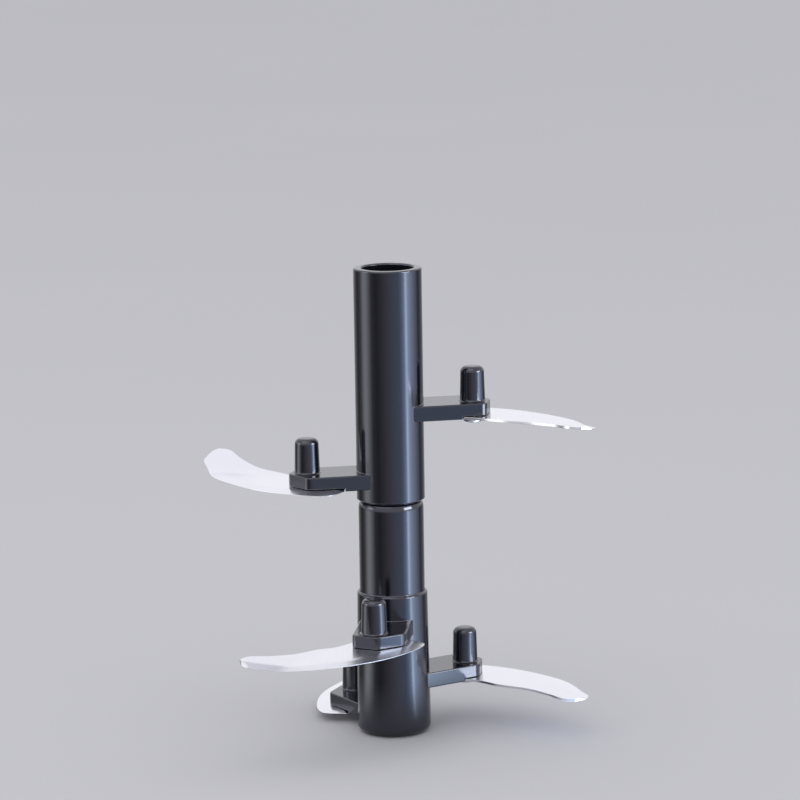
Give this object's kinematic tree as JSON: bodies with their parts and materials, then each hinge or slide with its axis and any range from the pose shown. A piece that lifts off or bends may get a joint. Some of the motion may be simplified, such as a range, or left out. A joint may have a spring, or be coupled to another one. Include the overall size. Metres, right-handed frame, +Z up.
{
  "type": "food chopper blade rotor",
  "caption": "Blade rotor of a hand cranked food chopper: a black plastic hub in two stages, with curved steel blades on flat arms.",
  "frame": {"origin": "where the rotor's axis meets the plane of its foot", "axes": "+Z up the rotor's axis, +X to the right and +Y away from the camera in the picture"},
  "size_m": [0.0984, 0.0976, 0.1182],
  "materials": {
    "black_plastic": "gloss black injection moulding",
    "socket_plastic": "matt dark grey moulding",
    "bush_plastic": "natural white acetal",
    "ring_rubber": "black rubber",
    "blade_steel": "polished stainless sheet with a ground edge",
    "fixing_steel": "bright stainless"
  },
  "bodies": {
    "lower_stage": {"lower_carrier": "black_plastic", "pivot_bush": "bush_plastic", "friction_ring": "ring_rubber", "blade_lower_front": "blade_steel", "blade_lower_right": "blade_steel", "blade_lower_rear": "blade_steel", "screw_lower_front": "fixing_steel", "screw_lower_right": "fixing_steel", "screw_lower_rear": "fixing_steel", "locating_pin_lower_front": "fixing_steel", "locating_pin_lower_right": "fixing_steel", "locating_pin_lower_rear": "fixing_steel"},
    "upper_stage": {"upper_carrier": "black_plastic", "drive_socket": "socket_plastic", "blade_upper_right": "blade_steel", "blade_upper_left": "blade_steel", "screw_upper_right": "fixing_steel", "screw_upper_left": "fixing_steel", "locating_pin_upper_right": "fixing_steel", "locating_pin_upper_left": "fixing_steel"}
  },
  "joints": [
    {"name": "stage_lift", "type": "slide", "parent": "lower_stage", "child": "upper_stage", "axis": [0, 0, 1], "range_m": [0, 0.018]}
  ]
}
